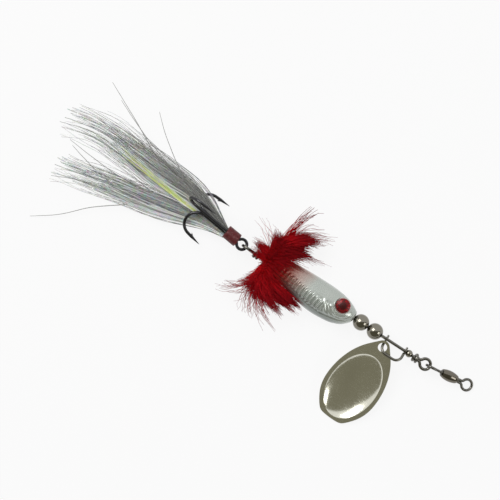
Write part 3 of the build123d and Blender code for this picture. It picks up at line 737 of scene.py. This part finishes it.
# ---------------------------------------------------------------- hook whipping
# Dark maroon thread is whipped tightly over the hooks' shanks, over the roots of the tail, and lacquered.
whip_low, whip_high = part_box("hook_thread")
hook_back = Vector((-0.986, 0.116, 0.120)).normalized()
thread_maroon = thread_finish("thread_maroon", (0.035, 0.003, 0.004), (0.190, 0.008, 0.012), 0.4)
whipping = applied(
    "hook_whipping",
    winding,
    {"Radius": 1.86 * mm, "Length": 4.1 * mm, "Turns": 17.0, "Thread": 0.14 * mm, "Finish": thread_maroon},
)
place_on_axis(whipping, (whip_low + whip_high) / 2 - hook_back * 2.0 * mm, hook_back)
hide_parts("hook_thread")
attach(whipping, "treble")

# ---------------------------------------------------------------- tail
# Flat strips of silvered film and some grey hair, tied in under the whipping by one end. They
# splay into two lobes, the hair along the upper one, and single long fibres stray from them.
strands, given, made, s = geometry_tree(
    "strands",
    {
        "Count": "Int",
        "Seed": "Int",
        "Spread": "Float",
        "Depth": "Float",
        "Wave": "Float",
        "Short": "Float",
        "Width": "Float",
        "Thickness": "Float",
        "Roll": "Float",
        "Tone": "Float",
        "Table": "Float",
    },
)
spine = s.add("GeometryNodeMeshToCurve", {}, {0: given["Geometry"]})
spine = s.add("GeometryNodeCurveSplineType", {"spline_type": "CATMULL_ROM"}, {"Curve": spine})
spine = s.add("GeometryNodeResampleCurve", {}, {"Curve": spine, "Count": 30})
copies = s.tree.nodes.new("GeometryNodeDuplicateElements")
copies.domain = "SPLINE"
s.tree.links.new(spine.socket, copies.inputs["Geometry"])
s.tree.links.new(given["Count"].socket, copies.inputs["Amount"])
which = Sock(s.tree, copies.outputs["Duplicate Index"])
seed = given["Seed"]
t = s.add("GeometryNodeSplineParameter")
half = s.add("GeometryNodeInputNamedAttribute", {"data_type": "FLOAT"}, {"Name": "half"})
place = s.add("GeometryNodeInputPosition")
heading = s.tree.nodes.new("ShaderNodeSeparateXYZ")
s.tree.links.new(s.add("GeometryNodeInputTangent").socket, heading.inputs[0])
along_x, along_y = (Sock(s.tree, heading.outputs[i]) for i in range(2))
apart = s.tree.nodes.new("ShaderNodeSeparateXYZ")
s.tree.links.new(place.socket, apart.inputs[0])
x, y, z = (Sock(s.tree, apart.outputs[i]) for i in range(3))
drift = s.add("ShaderNodeCombineXYZ", {}, {0: t * 2.2, 1: which * 3.7})
drift = {"Vector": drift, "Scale": 1.0, "Detail": 1.0}
drift = s.add("ShaderNodeTexNoise", {"noise_dimensions": "2D"}, drift)
lateral = (chance(s, which, seed, 1) * 0.95) * half * given["Spread"] + (drift - 0.5) * given["Wave"] * t
upward = chance(s, which, seed, 2) * half * given["Depth"]
upward = upward + (chance(s, which, seed, 3) * given["Wave"] * 0.25) * t
x = x - along_y * lateral
y = y + along_x * lateral
low = given["Table"] + 0.25 * mm + s.math("ABSOLUTE", chance(s, which, seed, 4)) * 0.8 * mm
z = s.math("MAXIMUM", z + upward, low)
laid = s.add(
    "GeometryNodeSetPosition",
    {},
    {
        "Geometry": Sock(s.tree, copies.outputs["Geometry"]),
        "Position": s.add("ShaderNodeCombineXYZ", {}, {0: x, 1: y, 2: z}),
    },
)
tilt = chance(s, which, seed, 5) * given["Roll"] + t * given["Roll"] * chance(s, which, seed, 6)
rolled = s.add("GeometryNodeSetCurveTilt", {}, {"Curve": laid, "Tilt": tilt})
for label, field in (("along", t), ("tone", given["Tone"] + chance(s, which, seed, 7) * 0.3)):
    rolled = s.add(
        "GeometryNodeStoreNamedAttribute",
        {"data_type": "FLOAT", "domain": "POINT"},
        {"Geometry": rolled, "Name": label, "Value": field},
    )
cut = 1 - s.math("ABSOLUTE", chance(s, which, seed, 8)) * given["Short"]
cut = s.add("GeometryNodeTrimCurve", {}, {"Curve": rolled, "End": cut})
strip = s.add("GeometryNodeCurvePrimitiveQuadrilateral", {}, {0: given["Width"], 1: given["Thickness"]})
strips = {"Curve": cut, "Profile Curve": strip, "Scale": 1 - t * t * 0.55, "Fill Caps": True}
strips = s.add("GeometryNodeCurveToMesh", {}, strips)
s.tree.links.new(strips.socket, made)


tail_drift = 0.0157  # the whole tail trails this much to one side for each length behind the eye


def spine_of(name, stations):
    """A bundle's spine: (along X from the hook's eye, aside, height above the table, half width) in mm."""
    mesh = bpy.data.meshes.new(name)
    points = [
        (hook_eye_x + back * mm, shaft_y + (aside + back * tail_drift) * mm, table_z + height * mm)
        for back, aside, height, width in stations
    ]
    mesh.from_pydata(points, [(i, i + 1) for i in range(len(points) - 1)], [])
    widths = mesh.attributes.new("half", "FLOAT", "POINT")
    widths.data.foreach_set("value", [width * mm for back, aside, height, width in stations])
    return mesh


def bundle_of(name, stations, rows, material):
    """One mesh of the strands, in layers of different sizes, along one spine."""
    tree, given, made, s = geometry_tree(name, {"Finish": "Material"})
    joined = s.tree.nodes.new("GeometryNodeJoinGeometry")
    for row in rows:
        sizes = {"Geometry": given["Geometry"], "Table": table_z, **dict(zip(strand_labels, row))}
        layer = s.add("GeometryNodeGroup", {"node_tree": strands}, sizes)
        s.tree.links.new(layer.socket, joined.inputs[0])
    real = s.add("GeometryNodeRealizeInstances", {}, {0: Sock(s.tree, joined.outputs[0])})
    finish = s.add("GeometryNodeSetMaterial", {}, {"Geometry": real, "Material": given["Finish"]})
    s.tree.links.new(finish.socket, made)
    return applied(name, tree, {"Finish": material}, spine_of(name, stations))


tinsel_silver, surface, s = new_material("tinsel_silver")
place = s.add("ShaderNodeTexCoord", out="Object")
tone = s.add("ShaderNodeAttribute", {"attribute_name": "tone"}, {}, "Fac")
fleck = s.add("ShaderNodeTexVoronoi", {}, {"Vector": place, "Scale": 1100.0}, "Color")
# Painted highlights: small spots of the film are painted near-white as glints, with lower roughness.
glint = s.add("ShaderNodeTexNoise", {}, {"Vector": place, "Scale": 1100.0, "Detail": 3.0, "Roughness": 0.6})
glint = s.add("ShaderNodeMapRange", {}, {"Value": glint, "From Min": 0.60, "From Max": 0.66})
film = (
    (0.0, (0.20, 0.20, 0.19)),
    (0.35, (0.56, 0.58, 0.57)),
    (0.7, (0.80, 0.83, 0.83)),
    (1.0, (0.72, 0.80, 0.30)),
)
film = s.add("ShaderNodeValToRGB", {"stops": film}, {0: tone})
film = blend(s, 0.22, film, fleck, blend_type="OVERLAY")
film = blend(s, glint * 0.9, film, (0.96, 0.98, 0.96))
shine = s.add(
    "ShaderNodeBsdfPrincipled", {}, {"Base Color": film, "Metallic": 0.35, "Roughness": 0.42 - glint * 0.2}
)
s.tree.links.new(shine.socket, surface)

hair_grey, surface, s = new_material("hair_grey")
place = s.add("ShaderNodeTexCoord", out="Object")
tone = s.add("ShaderNodeAttribute", {"attribute_name": "tone"}, {}, "Fac")
fuzz = s.add("ShaderNodeTexNoise", {}, {"Vector": place, "Scale": 700.0, "Detail": 3.0})
shade = blend(s, tone + fuzz * 0.3, (0.11, 0.10, 0.09), (0.60, 0.61, 0.58))
fibre = {"Base Color": shade, "Roughness": 0.45, "Alpha": 0.98 - tone * 1.15}
fibre = s.add("ShaderNodeBsdfPrincipled", {}, fibre)
s.tree.links.new(fibre.socket, surface)

strand_labels = ("Count", "Seed", "Spread", "Depth", "Wave", "Short", "Width", "Thickness", "Roll", "Tone")
upper = (
    (-5.6, 0.6, 4.3, 0.8), (-10, 2.0, 3.6, 1.8), (-15, 3.5, 3.2, 2.9), (-21, 4.6, 2.9, 3.6),
    (-30, 4.6, 2.6, 4.4), (-40, 5.4, 2.2, 4.2), (-49, 6.1, 1.9, 4.1), (-57, 5.4, 1.6, 4.4),
    (-63, 4.2, 1.4, 4.4),
)
lower = (
    (-5.6, -0.3, 4.3, 0.7), (-10, -0.4, 3.2, 1.1), (-15, -0.9, 2.6, 1.8), (-21, -2.0, 2.4, 2.6),
    (-30, -3.8, 2.2, 3.2), (-40, -5.4, 1.9, 3.2), (-48, -7.0, 1.6, 3.3), (-54, -8.2, 1.4, 3.5),
    (-58, -8.8, 1.2, 3.8),
)
hair = (
    (-5.6, 1.0, 5.6, 0.6), (-10, 2.8, 5.6, 1.0), (-15, 4.5, 5.6, 1.5), (-21, 6.2, 5.4, 2.2),
    (-30, 7.6, 5.0, 2.5), (-38, 9.0, 4.4, 2.2), (-46, 9.8, 3.6, 2.4),
)
streak = ((-16, 1.0, 5.0, 0.4), (-22.6, 1.7, 4.8, 0.6), (-34, 3.2, 4.2, 0.8), (-46, 4.9, 3.4, 1.0))
film_rows = (
    (60, 41, 0.95, 0.42, 2.6 * mm, 0.60, 0.55 * mm, 0.04 * mm, 0.8, 0.55),
    (85, 42, 1.05, 0.50, 4.2 * mm, 0.55, 0.26 * mm, 0.04 * mm, 1.2, 0.55),
    (38, 43, 1.35, 0.55, 8.0 * mm, 0.30, 0.15 * mm, 0.06 * mm, 1.5, 0.10),
)
streak_rows = ((11, 44, 1.0, 0.5, 1.0 * mm, 0.35, 0.34 * mm, 0.04 * mm, 0.9, 0.98),)
hair_rows = ((95, 45, 1.05, 0.45, 3.4 * mm, 0.55, 0.12 * mm, 0.09 * mm, 1.0, 0.62),)
for name, stations, rows, material, node in (
    ("tinsel_upper", upper, film_rows, tinsel_silver, "tail_tinsel_upper"),
    ("tinsel_lower", lower, film_rows, tinsel_silver, "tail_tinsel_lower"),
    ("tinsel_streak", streak, streak_rows, tinsel_silver, None),
    ("hair_tuft", hair, hair_rows, hair_grey, "tail_hair"),
):
    lobe = bundle_of(name, stations, rows, material)
    if node:
        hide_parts(node)
    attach(lobe, "treble")

stray_row = ((1, 46, 1.0, 0.4, 0.9 * mm, 0.06, 0.24 * mm, 0.20 * mm, 1.0, 0.05),)
strays = (
    ((-20, 5.0, 5.5, 0.3), (-29.8, 6.5, 5.0, 0.3), (-45.3, 14.5, 3.0, 0.4), (-57.4, 20.5, 1.0, 0.5)),
    ((-24, 6.5, 5.2, 0.3), (-39.3, 11.7, 4.0, 0.4), (-52.1, 17.3, 1.6, 0.5)),
    ((-16, 5.0, 5.6, 0.3), (-23.9, 7.5, 5.2, 0.3), (-34, 14.3, 3.4, 0.4), (-41.0, 20.4, 1.4, 0.4)),
    ((-48, 5.0, 3.0, 0.6), (-54.9, 5.0, 2.2, 0.8), (-63.8, 2.7, 0.8, 1.0)),
    ((-38, 8.6, 4.0, 0.4), (-46.8, 8.2, 3.2, 0.6), (-54.4, 9.8, 2.0, 0.9)),
    ((-30, -1.0, 2.6, 0.5), (-37.8, -1.7, 2.4, 0.5), (-46.1, -1.5, 1.8, 0.5), (-58.6, -0.1, 0.9, 0.7)),
    ((-40, -5.0, 2.6, 0.4), (-47.4, -3.8, 2.0, 0.4), (-56.7, -1.2, 1.0, 0.6)),
    ((-46, -7.6, 2.2, 0.7), (-52, -9.4, 1.6, 1.0), (-57.6, -11.2, 0.9, 1.8)),
    ((-34, -7.6, 2.4, 0.3), (-42.5, -14, 1.4, 0.3), (-48.7, -20.2, 0.9, 0.3), (-56.4, -25.7, 0.6, 0.4)),
)
for number, stations in enumerate(strays):
    stray = bundle_of(f"stray_{number}", stations, stray_row, hair_grey)
    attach(stray, "treble")
